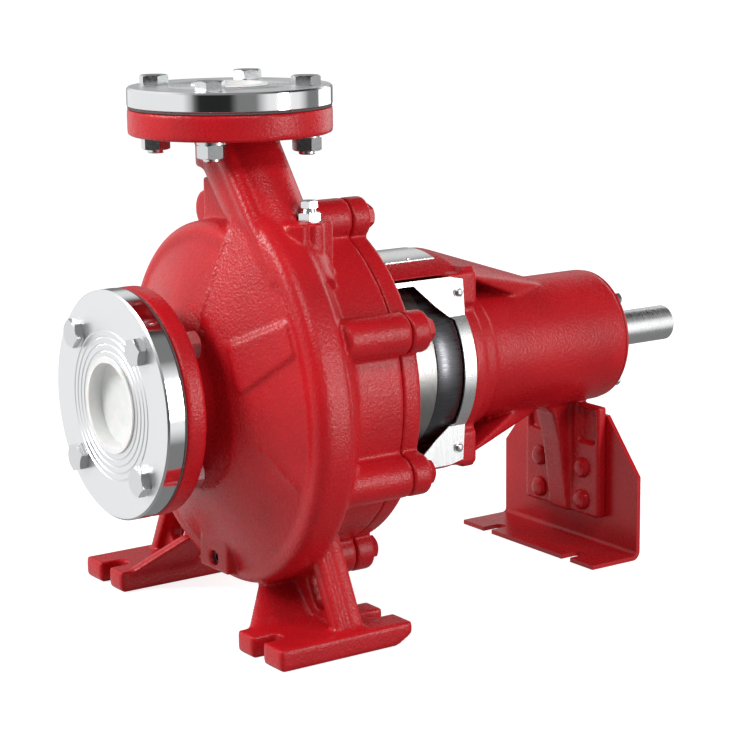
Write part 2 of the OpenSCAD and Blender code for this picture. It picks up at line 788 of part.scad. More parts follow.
module suction_flange() {
    color("gainsboro") about_shaft() translate([0, 0, suction_front])
        companion(suction_dia, suction_pcd, suction_thread_dia, [60.5, 55, 49.5, 44]);
}

module discharge_flange() {
    color("gainsboro") translate([0, 0, discharge_top]) rotate([180, 0, 0])
        companion(discharge_dia, discharge_pcd, discharge_thread_dia, [49, 44, 39, 34]);
}

module suction_gasket() {
    color("dimgray") difference() {
        ring(suction_bore / 2, suction_r - 0.5, suction_x - gasket_thick, suction_x);
        round_shaft(suction_pcd / 2, 4, 45, suction_x - gasket_thick - 1)
            cylinder(h = gasket_thick + 2, r = flange_bolt_dia / 2 + 1);
    }
}

module discharge_gasket() {
    color("dimgray") difference() {
        translate([0, 0, discharge_z])
            washer(discharge_bore / 2, discharge_dia / 2 - 0.5, gasket_thick);
        round_discharge(discharge_z - 1)
            cylinder(h = gasket_thick + 2, r = flange_bolt_dia / 2 + 1);
    }
}

function bolt_length(cast) = companion_thick + gasket_thick + cast + washer_thick
    + flange_nut + 3;

module suction_bolts() {
    color("silver")
        round_shaft(suction_pcd / 2, 4, 45, suction_front)
            hex_bolt(flange_hex, flange_head, flange_bolt_dia, bolt_length(suction_thick));
}

module suction_washers() {
    color("silver")
        round_shaft(suction_pcd / 2, 4, 45, suction_back)
            washer(flange_bolt_dia / 2 + fit, flange_hex / 2 + 1.5, washer_thick);
}

module suction_nuts() {
    color("silver")
        round_shaft(suction_pcd / 2, 4, 45, suction_back + washer_thick)
            hex_nut(flange_hex, flange_nut, flange_bolt_dia);
}

module discharge_bolts() {
    color("silver")
        round_discharge(discharge_top) rotate([180, 0, 0])
            hex_bolt(flange_hex, flange_head, flange_bolt_dia, bolt_length(discharge_thick));
}

module discharge_washers() {
    color("silver")
        round_discharge(discharge_under - washer_thick)
            washer(flange_bolt_dia / 2 + fit, flange_hex / 2 + 1.5, washer_thick);
}

module discharge_nuts() {
    color("silver")
        round_discharge(discharge_under - washer_thick - flange_nut)
            hex_nut(flange_hex, flange_nut, flange_bolt_dia);
}

// Dished transit plug, its rim towards local -Z and its cup in the thread bore.
module transit_cap(thread) {
    r = thread / 2;
    rotate_extrude()
        polygon([[r - 3, -1.6], [r + 1.2, -1.6], [r + 1.6, -run_gap], [r - run_gap, -run_gap],
                 [r - run_gap - 0.6, 12], [r * 0.5, 14], [0, 14.6], [0, 13],
                 [r * 0.5, 12.4], [r - 3.4, 10]]);
}

module suction_cap() {
    color("white") about_shaft() translate([0, 0, suction_front])
        transit_cap(suction_thread_dia);
}

module discharge_cap() {
    color("white") translate([0, 0, discharge_top]) rotate([180, 0, 0])
        transit_cap(discharge_thread_dia);
}

module vent_body() {
    color("silver") translate([vent_x, -vent_y, vent_z]) difference() {
        union() {
            translate([0, 0, -12]) cylinder(h = 12 + eps, r = 5);
            hexagon(vent_hex, 7);
            translate([0, 0, 7 - eps]) cylinder(h = 3, r1 = 6, r2 = 5);
        }
        translate([0, 0, -2]) cylinder(h = 20, r = 3.05);
    }
}

module bleed_screw() {
    color("silver") translate([vent_x, -vent_y, vent_z]) {
        cylinder(h = 11, r = 3);
        translate([0, 0, 10.3]) hexagon(13, 5.7);
    }
}

module drain_plug() {
    color("dimgray") translate([lug_plate_front + 4, drain_y, drain_z]) rotate([0, 90, 0])
        difference() {
            cylinder(h = 8, r = drain_dia / 2 - fit);
            translate([0, 0, -1]) cylinder(h = 5, r = 3.4, $fn = 6);
        }
}

module shaft() {
    b = bearing_bore / 2;
    key_w = 10;
    groove_x = drive_start + 19;
    color("silver") difference() {
        turned([[0, nut_front], [9, nut_front], [10, nut_front + 1], [10, -20],
                [impeller_seat_r, -20], [impeller_seat_r, impeller_tail],
                [sleeve_seat_r, impeller_tail], [sleeve_seat_r, 176], [b, 176],
                [b, front_bearing + bearing_width], [b + 3, front_bearing + bearing_width],
                [b + 3, rear_bearing], [b, rear_bearing], [b, rear_bearing + bearing_width + 1],
                [b - 1.2, rear_bearing + bearing_width + 1],
                [b - 1.2, rear_bearing + bearing_width + 2.8],
                [b, rear_bearing + bearing_width + 2.8], [b, housing_end + 3],
                [drive_r + 1.5, housing_end + 3], [drive_r + 1.5, drive_start],
                [drive_r, drive_start], [drive_r, groove_x], [drive_r - 0.7, groove_x],
                [drive_r - 0.7, groove_x + 1.5], [drive_r, groove_x + 1.5],
                [drive_r, shaft_reach - 2], [drive_r - 2, shaft_reach], [0, shaft_reach]]);
        // Keyways: drive end on the far side, impeller on top
        translate([drive_start + 8, drive_r - 5, shaft_height - key_w / 2])
            cube([drive_length - 7, 10, key_w]);
        translate([-14, -4, shaft_height + impeller_seat_r - 4]) cube([34, 8, 10]);
    }
}

module impeller_key() {
    color("dimgray") translate([-14 + fit, -4 + fit, shaft_height + impeller_seat_r - 4 + fit])
        cube([34 - 2 * fit, 8 - 2 * fit, 7 - fit]);
}

module impeller_washer() {
    color("dimgray") ring(10 + fit, 20, -22.5, -20 - eps);
}

module impeller_nut() {
    color("silver") translate([-22.5, 0, shaft_height]) rotate([0, -90, 0])
        hex_nut(30, 15, 20);
}

// Camber line of a vane: one circular arc that meets the rim at the outlet angle.
vane_in_r = 44;
vane_out_r = impeller_dia / 2 - 1;
vane_rho = (vane_out_r * vane_out_r - vane_in_r * vane_in_r)
    / (2 * (vane_out_r * cos(vane_angle) - vane_in_r * cos(20)));
vane_centre = sqrt(vane_rho * vane_rho + vane_out_r * vane_out_r
    - 2 * vane_rho * vane_out_r * cos(vane_angle));
function reach_angle(r) = acos((vane_centre * vane_centre + vane_rho * vane_rho - r * r)
    / (2 * vane_centre * vane_rho));
function vane_points(offset) = let (a = reach_angle(vane_in_r), b = reach_angle(vane_out_r))
    [for (i = [0 : 12]) let (t = a + (b - a) * i / 12, q = vane_rho + offset)
        [vane_centre - q * cos(t), q * sin(t)]];
function reversed(v) = [for (i = [len(v) - 1 : -1 : 0]) v[i]];

module impeller() {
    rim = impeller_dia / 2;
    color("goldenrod") difference() {
        union() {
            // Hub and back shroud with its balancing neck
            turned([[impeller_seat_r, -20], [20, -20], [24, -12], [40, vane_back + 1],
                    [rim, vane_back], [rim, vane_back + 4], [60, vane_back + 6],
                    [back_ring_r, vane_back + 8], [back_ring_r, 14], [back_ring_r - 6, 14],
                    [back_ring_r - 8, 10], [28, 9], [26, impeller_tail],
                    [impeller_seat_r, impeller_tail]]);
            // Front shroud and eye
            turned([[eye_r, -48], [eye_ring_r, -48], [eye_ring_r, -32], [60, -24],
                    [rim, vane_front - 4], [rim, vane_front], [58, vane_front - 3],
                    [44, -26], [eye_r, -38]]);
            intersection() {
                about_shaft() for (i = [0 : vanes - 1])
                    rotate([0, 0, i * 360 / vanes]) translate([0, 0, -40])
                        linear_extrude(height = 50)
                            polygon(concat(vane_points(-2), reversed(vane_points(2))));
                turned([[30, -30], [44, -28], [60, -20], [rim - 1, vane_front - 2],
                        [rim - 1, vane_back + 2], [40, vane_back + 3], [30, -8]]);
            }
        }
        translate([-14, -4, shaft_height]) cube([34, 8, impeller_seat_r + 3.2]);
        for (i = [0 : vanes - 1])
            about_shaft() rotate([0, 0, i * 360 / vanes]) translate([33, 0, -12])
                cylinder(h = 24, r = 2.5);
    }
}

module shaft_sleeve() {
    color("gainsboro") ring(sleeve_seat_r + fit / 2, sleeve_r, impeller_tail + fit, 176 - fit);
}

module seal_seat() {
    color("ivory") ring(sleeve_r + 1.5, 32 - fit, drum_end - 12 - 5, drum_end - 6 - fit);
}

module seal_head() {
    face = drum_end - 17 - run_gap;
    color("dimgray") turned([[sleeve_r + fit / 2, face - 16], [31, face - 16], [31, face - 5],
                             [27, face - 5], [27, face], [sleeve_r + fit / 2, face]]);
}

module seal_spring() {
    wire = 1.4;
    turns = 5;
    pitch = 5;
    last = drum_end - 17 - run_gap - 16 - wire;
    first = last - (turns - 1) * pitch;
    color("silver") union() {
        for (i = [0 : turns - 1])
            about_shaft() translate([0, 0, first + i * pitch])
                rotate_extrude() translate([26, 0]) circle(r = wire);
        for (i = [0 : turns - 2])
            about_shaft() rotate([0, 0, i * 70]) translate([26, 0, first + i * pitch])
                cylinder(h = pitch, r = wire - 0.2);
        ring(sleeve_r + fit / 2, 30, first - 5, first - 1);
    }
}

module shaft_deflector() {
    color("dimgray") turned([[bearing_bore / 2 + fit / 2, 178], [26, 178], [34, 180.5],
                             [34, 182], [26, 181.5], [bearing_bore / 2 + fit / 2, 181.5]]);
}

module race_groove(x) {
    about_shaft() translate([0, 0, x + bearing_width / 2])
        rotate_extrude() translate([pitch_r, 0]) circle(r = race_r);
}

module outer_ring(x) {
    color("silver") difference() {
        turned([[pitch_r + 4.6, x], [bearing_dia / 2 - 1, x], [bearing_dia / 2, x + 1],
                [bearing_dia / 2, x + bearing_width - 1],
                [bearing_dia / 2 - 1, x + bearing_width], [pitch_r + 4.6, x + bearing_width]]);
        race_groove(x);
    }
}

module inner_ring(x) {
    color("silver") difference() {
        ring(bearing_bore / 2 + fit / 20, pitch_r - 4.6, x, x + bearing_width);
        race_groove(x);
    }
}

module ball_set(x) {
    color("gainsboro")
        round_shaft(pitch_r, balls, 0, x + bearing_width / 2) sphere(r = ball_r);
}

module cage(x) {
    mid = x + bearing_width / 2;
    color("goldenrod") difference() {
        ring(pitch_r - 2.6, pitch_r + 2.6, mid - 9.5, mid + 9.5);
        round_shaft(pitch_r - 6, balls, 0, mid) rotate([-90, 0, 0])
            cylinder(h = 12, r = ball_r + run_gap);
    }
}

module front_outer_ring() { outer_ring(front_bearing); }

module front_inner_ring() { inner_ring(front_bearing); }

module front_balls() { ball_set(front_bearing); }

module front_cage() { cage(front_bearing); }

module rear_outer_ring() { outer_ring(rear_bearing); }

module rear_inner_ring() { inner_ring(rear_bearing); }

module rear_balls() { ball_set(rear_bearing); }

module rear_cage() { cage(rear_bearing); }

module front_bearing_cover() {
    spigot = bearing_dia / 2 - 5 - fit;
    color("gainsboro") difference() {
        turned([[30, wall_face - 6], [62, wall_face - 6], [68, wall_face - 3],
                [68, wall_face], [spigot, wall_face], [spigot, front_bearing - 2],
                [28, front_bearing - 2], [28, wall_face + 7], [30, wall_face + 7]]);
        round_shaft(56, 4, 45, wall_face - 10) cylinder(h = 20, r = 3.5);
    }
}

module front_cover_screws() {
    color("silver")
        round_shaft(56, 4, 45, wall_face - 6) hex_bolt(10, 4, 6, 15);
}

module front_lip_seal() {
    b = bearing_bore / 2;
    color("dimgray") ring(b + run_gap, 30, wall_face - 1, wall_face + 6);
}

module rear_bearing_cover() {
    color("crimson") difference() {
        turned([[30, housing_end - 10], [bearing_dia / 2 - fit, housing_end - 10],
                [bearing_dia / 2 - fit, housing_end], [housing_r - 1, housing_end],
                [housing_r - 1, housing_end + 2], [housing_r - 3, housing_end + 4],
                [28, housing_end + 4], [28, housing_end + 2], [30, housing_end + 2]]);
        round_shaft(52, 4, 45, housing_end - 1) cylinder(h = 6, r = 3.5);
    }
}

module rear_cover_screws() {
    color("silver")
        round_shaft(52, 4, 45, housing_end + 4) rotate([0, 180, 0]) hex_bolt(10, 4, 6, 13);
}

module rear_lip_seal() {
    color("dimgray") ring(bearing_bore / 2 + run_gap, 30, housing_end - 6, housing_end + 1.9);
}

module bearing_lock_ring() {
    x = rear_bearing + bearing_width + 1 + fit;
    color("dimgray") ring(bearing_bore / 2 - 1.1, bearing_bore / 2 + 3, x, x + 1.6);
}

volute_casing();
casing_wear_ring();
cover_wear_ring();
casing_gasket();
casing_cover();
bearing_bracket();
casing_screws();
guard_near();
guard_far();
guard_screws();
name_plate();
name_plate_rivets();
support_foot();
support_foot_bolts();
support_foot_nuts();
suction_flange();
suction_gasket();
suction_bolts();
suction_washers();
suction_nuts();
suction_cap();
discharge_flange();
discharge_gasket();
discharge_bolts();
discharge_washers();
discharge_nuts();
discharge_cap();
vent_body();
bleed_screw();
drain_plug();
shaft();
impeller();
impeller_key();
impeller_washer();
impeller_nut();
shaft_sleeve();
seal_seat();
seal_head();
seal_spring();
shaft_deflector();
front_outer_ring();
front_inner_ring();
front_balls();
front_cage();
rear_outer_ring();
rear_inner_ring();
rear_balls();
rear_cage();
front_bearing_cover();
front_cover_screws();
front_lip_seal();
rear_bearing_cover();
rear_cover_screws();
rear_lip_seal();
bearing_lock_ring();
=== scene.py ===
# %% [markdown]
# # Looks of a bare-shaft water pump
# The exact model of the pump arrives as a fixed frame of named nodes. This lesson gives it
# its surfaces: cast iron under red paint, plated flanges, bright sheet and a ground shaft.
# All sizes are in metres, X runs along the shaft and Z is up.

import json
import math

import bmesh
import bpy
import numpy as np
from mathutils import Matrix, Vector


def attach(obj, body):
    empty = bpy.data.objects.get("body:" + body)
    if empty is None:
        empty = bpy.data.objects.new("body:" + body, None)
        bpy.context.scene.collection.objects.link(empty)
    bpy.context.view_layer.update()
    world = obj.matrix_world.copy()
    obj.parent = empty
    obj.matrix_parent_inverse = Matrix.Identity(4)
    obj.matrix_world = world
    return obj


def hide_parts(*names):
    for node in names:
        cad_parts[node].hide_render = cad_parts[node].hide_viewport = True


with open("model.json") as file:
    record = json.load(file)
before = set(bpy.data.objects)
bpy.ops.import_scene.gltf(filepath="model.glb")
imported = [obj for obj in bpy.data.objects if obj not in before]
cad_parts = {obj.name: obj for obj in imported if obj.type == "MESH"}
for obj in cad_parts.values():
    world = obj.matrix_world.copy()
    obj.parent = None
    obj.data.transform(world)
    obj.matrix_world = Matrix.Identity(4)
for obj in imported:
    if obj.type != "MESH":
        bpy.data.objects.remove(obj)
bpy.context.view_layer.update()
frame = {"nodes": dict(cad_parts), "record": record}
nodes = frame["nodes"]

# %% [markdown]
# The camera comes first, because every surface is seen through it. It stands on the suction
# side, low and far off, so the flanges are narrow ellipses with little perspective. Its axes
# are written from three angles: azimuth round the object, elevation, and a small roll. The
# focal length is a share of the sensor's width, which sets how wide the view is.

# %% Camera at the photograph's angle
AZIMUTH, ELEVATION, ROLL = (math.radians(a) for a in (-34.54, 11.65, -0.66))
EYE = Vector((-0.92336, -1.52820, 0.57427))
SENSOR_WIDTH, FOCAL_SHARE = 36.0, 3.0359

back = Vector((math.sin(AZIMUTH) * math.cos(ELEVATION),
               -math.cos(AZIMUTH) * math.cos(ELEVATION), math.sin(ELEVATION)))
level = Vector((math.cos(AZIMUTH), math.sin(AZIMUTH), 0.0))
rise = back.cross(level)
right = math.cos(ROLL) * level + math.sin(ROLL) * rise
up = math.cos(ROLL) * rise - math.sin(ROLL) * level

lens = bpy.data.cameras.new("camera")
lens.sensor_width = SENSOR_WIDTH
lens.lens = FOCAL_SHARE * SENSOR_WIDTH
lens.clip_start, lens.clip_end = 0.05, 60.0
camera = bpy.data.objects.new("camera", lens)
camera.matrix_world = Matrix.Translation(EYE) @ Matrix((right, up, back)).transposed().to_4x4()
bpy.context.scene.collection.objects.link(camera)
bpy.context.scene.camera = camera
print("camera: lens", round(lens.lens, 1), "mm")

# %% [markdown]
# A material is a small graph of nodes round one shader. The helpers below keep each recipe
# short: one makes the shader with its plain numbers, one makes noise in Object coordinates so
# that a pattern stays on the piece, and one turns a height into bump.

# %% Material helpers
def shader_material(name, **sockets):
    """A material with one Principled shader whose named sockets hold plain numbers."""
    material = bpy.data.materials.new(name)
    material.use_nodes = True
    shader = material.node_tree.nodes["Principled BSDF"]
    for socket, value in sockets.items():
        shader.inputs[socket.replace("_", " ")].default_value = value
    return material, material.node_tree, shader


def noise(tree, scale, detail=2.0, stretch=(1.0, 1.0, 1.0)):
    """Height from 0 to 1: fractal noise at `scale` cells a metre, squeezed by `stretch`."""
    place = tree.nodes.new("ShaderNodeTexCoord")
    mapping = tree.nodes.new("ShaderNodeMapping")
    mapping.inputs["Scale"].default_value = stretch
    texture = tree.nodes.new("ShaderNodeTexNoise")
    texture.inputs["Scale"].default_value = scale
    texture.inputs["Detail"].default_value = detail
    tree.links.new(place.outputs["Object"], mapping.inputs["Vector"])
    tree.links.new(mapping.outputs["Vector"], texture.inputs["Vector"])
    return texture.outputs["Fac"]


def spread(tree, value, low, high, start=0.3, end=0.7):
    """Carries a height in start..end to low..high, for a socket that varies a little."""
    span = tree.nodes.new("ShaderNodeMapRange")
    for socket, number in (("From Min", start), ("From Max", end),
                           ("To Min", low), ("To Max", high)):
        span.inputs[socket].default_value = number
    tree.links.new(value, span.inputs["Value"])
    return span.outputs["Result"]


def tint(tree, value, dark, light):
    """A colour between two by a height: all dark below 0.32 and all light above 0.68."""
    ramp = tree.nodes.new("ShaderNodeValToRGB")
    for stop, place, colour in zip(ramp.color_ramp.elements, (0.32, 0.68), (dark, light)):
        stop.position, stop.color = place, (*colour, 1.0)
    tree.links.new(value, ramp.inputs["Fac"])
    return ramp.outputs["Color"]


def emboss(tree, shader, *layers):
    """Bump from layers of (height, depth in metres, strength), one on top of the other."""
    below = None
    for height, depth, strength in layers:
        bump = tree.nodes.new("ShaderNodeBump")
        bump.inputs["Distance"].default_value = depth
        bump.inputs["Strength"].default_value = strength
        tree.links.new(height, bump.inputs["Height"])
        if below:
            tree.links.new(below, bump.inputs["Normal"])
        below = bump.outputs["Normal"]
    tree.links.new(below, shader.inputs["Normal"])


# %% [markdown]
# The paint is one thick glossy red coat. On the castings it follows the grain of the sand
# mould, so the highlights break up into fine grains. On sheet and turned pieces it is smooth
# with a faint orange peel. Colour varies only slightly: a deeper red where the coat is thick.

# %% Red paint
RED_DEEP, RED_BRIGHT = (0.40, 0.0060, 0.0105), (0.50, 0.0085, 0.0140)


def red_paint(name, grain_depth):
    """Red coat: colour drifts over hand-size patches, grain 2 mm and waves 8 mm in bump."""
    material, tree, shader = shader_material(name, IOR=1.45, Specular_IOR_Level=0.33)
    tree.links.new(tint(tree, noise(tree, 18, 3), RED_DEEP, RED_BRIGHT),
                   shader.inputs["Base Color"])
    tree.links.new(spread(tree, noise(tree, 420, 2), 0.24, 0.36), shader.inputs["Roughness"])
    emboss(tree, shader, (noise(tree, 120, 2), 0.0006, grain_depth * 0.4),
           (noise(tree, 480, 3), 0.0005, grain_depth))
    return material


cast_red = red_paint("cast_red_paint", 0.8)
smooth_red = red_paint("smooth_red_paint", 0.10)
print("paint:", cast_red.name, smooth_red.name)

# %% [markdown]
# The bright pieces differ by how they were finished: turned faces carry rings, drawn sheet
# carries straight brushing, a ground shaft carries fine rings, and plating is nearly a
# mirror. Stretching the same noise along one axis gives each of these marks.

# %% Metals
def metal(name, colour, rough, stretch, scale=260, depth=0.0001, strength=0.12):
    """Bare metal: roughness swings by a third along marks drawn out by `stretch`."""
    material, tree, shader = shader_material(name, Base_Color=(*colour, 1.0), Metallic=1.0)
    marks = noise(tree, scale, 3, stretch)
    tree.links.new(spread(tree, marks, rough * 0.75, rough * 1.3), shader.inputs["Roughness"])
    emboss(tree, shader, (marks, depth, strength))
    return material


def turned_plate(name, axis):
    """Plating on a turned flange: nearly a mirror on its rim, satin on its flat faces."""
    material, tree, shader = shader_material(name, Base_Color=(0.82, 0.83, 0.84, 1.0),
                                             Metallic=1.0)
    geometry = tree.nodes.new("ShaderNodeNewGeometry")
    along = tree.nodes.new("ShaderNodeVectorMath")
    along.operation = "DOT_PRODUCT"
    along.inputs[1].default_value = axis
    tree.links.new(geometry.outputs["Normal"], along.inputs[0])
    flat = tree.nodes.new("ShaderNodeMath")
    flat.operation = "ABSOLUTE"
    tree.links.new(along.outputs["Value"], flat.inputs[0])
    tree.links.new(spread(tree, flat.outputs["Value"], 0.09, 0.38, 0.5, 0.9),
                   shader.inputs["Roughness"])
    stretch = tuple(0.3 + 11.7 * abs(a) for a in axis)
    emboss(tree, shader, (noise(tree, 130, 3, stretch), 0.0001, 0.10))
    return material


plate_x = turned_plate("bright_plate_suction", (1.0, 0.0, 0.0))
plate_z = turned_plate("bright_plate_discharge", (0.0, 0.0, 1.0))
chrome = metal("bright_plate", (0.80, 0.81, 0.82), 0.13, (1, 1, 1), 60, 0.00005, 0.05)
stainless = metal("brushed_sheet", (0.84, 0.845, 0.85), 0.24, (14, 14, 0.35), 120)
zinc = metal("zinc_plate", (0.72, 0.73, 0.74), 0.20, (1, 1, 1), 500)
ground = metal("ground_steel", (0.76, 0.765, 0.77), 0.28, (12, 0.6, 0.6), 200)
dark_steel = metal("blued_steel", (0.14, 0.14, 0.15), 0.38, (1, 1, 1), 500)
iron = metal("machined_iron", (0.36, 0.35, 0.34), 0.36, (9, 0.7, 0.7), 160)
bronze = metal("cast_bronze", (0.62, 0.40, 0.16), 0.34, (1, 1, 1), 300, 0.0003, 0.3)
print("metals:", [m.name for m in (plate_x, plate_z, chrome, stainless, zinc, ground,
                                   dark_steel, iron, bronze)])

# %% [markdown]
# The transit plugs are soft white plastic that lets a little light in. The gaskets are
# pressed fibre with a mottled grey, the seals are matt rubber, and the seal's seat is a
# smooth white ceramic.

# %% Plastic, fibre, rubber and ceramic
def plain(name, dark, light, rough, scale, depth, strength, **sockets):
    """A non-metal with mottled colour and a grain at the same scale."""
    material, tree, shader = shader_material(name, Roughness=rough, **sockets)
    grain = noise(tree, scale, 4)
    tree.links.new(tint(tree, grain, dark, light), shader.inputs["Base Color"])
    emboss(tree, shader, (grain, depth, strength))
    return material


plastic = plain("white_plastic", (0.70, 0.70, 0.69), (0.76, 0.76, 0.75), 0.34, 90, 0.0001,
                0.08, Subsurface_Weight=0.2, Subsurface_Scale=0.004)
fibre = plain("gasket_fibre", (0.060, 0.040, 0.042), (0.110, 0.080, 0.078), 0.8, 900,
              0.0002, 0.4)
rubber = plain("seal_rubber", (0.012, 0.012, 0.013), (0.022, 0.022, 0.023), 0.6, 600,
               0.0001, 0.2)
ceramic = plain("seal_ceramic", (0.70, 0.68, 0.62), (0.78, 0.76, 0.70), 0.22, 300,
                0.00005, 0.05)
print("materials:", len(bpy.data.materials))

# %% [markdown]
# Every node of the frame keeps its exact mesh and gets one of these finishes, by the material
# slot that the part's record gives it. The painted castings are the exception: their nodes
# are shown by skins made further down.

# %% Finishes for the carried nodes
FINISH = {"red_paint": smooth_red, "chrome_plate": chrome, "stainless": stainless,
          "zinc_steel": zinc, "ground_steel": ground, "dark_steel": dark_steel,
          "machined_iron": iron, "bronze": bronze, "white_plastic": plastic,
          "gasket_fibre": fibre, "seal_rubber": rubber, "seal_ceramic": ceramic}
for part in frame["record"]["subparts"]:
    mesh = nodes[part["node"]].data
    mesh.materials.clear()
    mesh.materials.append(FINISH[part["material_slot"]])
nodes["suction_flange"].data.materials[0] = plate_x
nodes["discharge_flange"].data.materials[0] = plate_z

# %% [markdown]
# A sand casting has no sharp inner corners: iron fills them with a fillet, and the mould
# rounds every edge. The exact solids have neither. The skin is made by copying the node's
# mesh, rebuilding it as even small squares, laying these back on the exact surface and then
# relaxing them, which melts edges and corners alike over about three millimetres. Last, flat
# areas are thinned, so that the skin stays light.

# %% Skin of a casting
def evaluated_copy(obj, name):
    """The mesh of an object with its modifiers worked in."""
    graph = bpy.context.evaluated_depsgraph_get()
    mesh = bpy.data.meshes.new_from_object(obj.evaluated_get(graph))
    mesh.name = name
    return mesh


def relaxed(points, edges, rounds, pull=0.5):
    """Each round moves every point part of the way to the mean of its neighbours."""
    ends = np.concatenate([edges, edges[:, ::-1]])
    count = np.bincount(ends[:, 0], minlength=len(points))[:, None]
    for _ in range(rounds):
        total = np.stack([np.bincount(ends[:, 0], points[ends[:, 1], axis], len(points))
                          for axis in range(3)], axis=1)
        points = points + pull * (total / count - points)
    return points


def casting_skin(node, name, square, rounds, limit, share):
    """The rounded skin of a cast node: no point moves further than `limit`, and flat areas are
    thinned until `share` of the faces is left."""
    source = bpy.data.objects.new(name + "_source", nodes[node].data.copy())
    bpy.context.scene.collection.objects.link(source)
    shell = bmesh.new()
    shell.from_mesh(source.data)
    bmesh.ops.remove_doubles(shell, verts=shell.verts, dist=1e-6)
    shell.to_mesh(source.data)
    shell.free()
    skin = bpy.data.objects.new(name, source.data.copy())
    bpy.context.scene.collection.objects.link(skin)
    remesh = skin.modifiers.new("squares", "REMESH")
    remesh.mode, remesh.voxel_size = "VOXEL", square
    wrap = skin.modifiers.new("wrap", "SHRINKWRAP")
    wrap.target, wrap.wrap_method = source, "NEAREST_SURFACEPOINT"
    bpy.context.view_layer.update()
    mesh = evaluated_copy(skin, name)
    skin.modifiers.clear()
    points = np.empty(len(mesh.vertices) * 3)
    mesh.vertices.foreach_get("co", points)
    edges = np.empty(len(mesh.edges) * 2, np.int64)
    mesh.edges.foreach_get("vertices", edges)
    points = points.reshape(-1, 3)
    moved = relaxed(points, edges.reshape(-1, 2), rounds) - points
    far = np.linalg.norm(moved, axis=1, keepdims=True)
    moved *= np.minimum(1.0, limit / np.maximum(far, 1e-9))
    mesh.vertices.foreach_set("co", (points + moved).ravel())
    mesh.update()
    skin.data = mesh
    bpy.data.objects.remove(source)
    thin = skin.modifiers.new("thin", "DECIMATE")
    thin.ratio = share
    bpy.context.view_layer.update()
    mesh = evaluated_copy(skin, name)
    skin.modifiers.clear()
    skin.data = mesh
    mesh.shade_smooth()
    mesh.materials.clear()
    mesh.materials.append(cast_red)
    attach(skin, "pump_frame")
    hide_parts(node)
    print(name, "faces", len(mesh.polygons), "asked to move", round(float(far.max()) * 1000, 2),
          "mm, held to", limit * 1000)


casting_skin("volute_casing", "casing_skin", square=0.0018, rounds=6, limit=0.0018, share=0.42)
casting_skin("bearing_bracket", "bracket_skin", square=0.0016, rounds=5, limit=0.0014,
             share=0.45)

# %% [markdown]
# Behind the guard the photograph shows one more bright band between the drum of the casing
# cover and the guard. It is a thin rolled sheet ring that butts against the drum's end. Its
# section is a small closed outline, turned round the shaft axis in one array step.

# %% Bright band behind the guard
SHAFT_Z = 0.190


def turned_ring(name, outline, steps=180):
    """A closed ring: each outline point (x, radius) is carried round the shaft axis, so a point
    lies at height `SHAFT_Z` plus radius times sine and at Y equal to radius times cosine."""
    x, radius = np.array(outline).T
    turn = np.linspace(0.0, 2.0 * np.pi, steps, endpoint=False)[:, None]
    points = np.stack([x + 0.0 * turn, radius * np.cos(turn),
                       SHAFT_Z + radius * np.sin(turn)], -1)
    count = len(x)
    row, col = np.meshgrid(np.arange(steps), np.arange(count), indexing="ij")
    after, beside = (row + 1) % steps, (col + 1) % count
    faces = np.stack([row * count + col, after * count + col, after * count + beside,
                      row * count + beside], -1).reshape(-1, 4)
    mesh = bpy.data.meshes.new(name)
    mesh.from_pydata(points.reshape(-1, 3), [], faces.tolist())
    mesh.update()
    obj = bpy.data.objects.new(name, mesh)
    bpy.context.scene.collection.objects.link(obj)
    return obj


band = turned_ring("drum_band", [(0.1503, 0.0730), (0.1503, 0.0742), (0.1515, 0.0748),
                                 (0.1760, 0.0748), (0.1776, 0.0736), (0.1776, 0.0722),
                                 (0.1764, 0.0728), (0.1520, 0.0730)])
band.data.shade_smooth()
band.data.materials.append(metal("rolled_band", (0.13, 0.13, 0.14), 0.3, (0.4, 9, 9), 140))
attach(band, "pump_frame")
print("band faces", len(band.data.polygons))

# %% [markdown]
# The studio is the white cove of a product photograph. The floor and the surround look white,
# but throw little light upwards, as if black cloth lay round the pump just out of sight. The
# surround carries light and dark panels, because plated metal shows only what stands round it.

# %% Floor and surround
FLOOR_GREY, FLOOR_GLOW = 0.5, 0.84       # what the camera sees: a matt grey that also shines
THROWN_GREY = 0.45                       # what matt surfaces get from the floor
SEEN_WHITE, SURROUND_GREY = 1.05, 0.22   # the surround to the camera, and to all else


def ray_kind(tree, kind):
    """1 for light rays of one kind, such as those a matt surface sends out, and 0 for others."""
    return tree.nodes.new("ShaderNodeLightPath").outputs[kind]


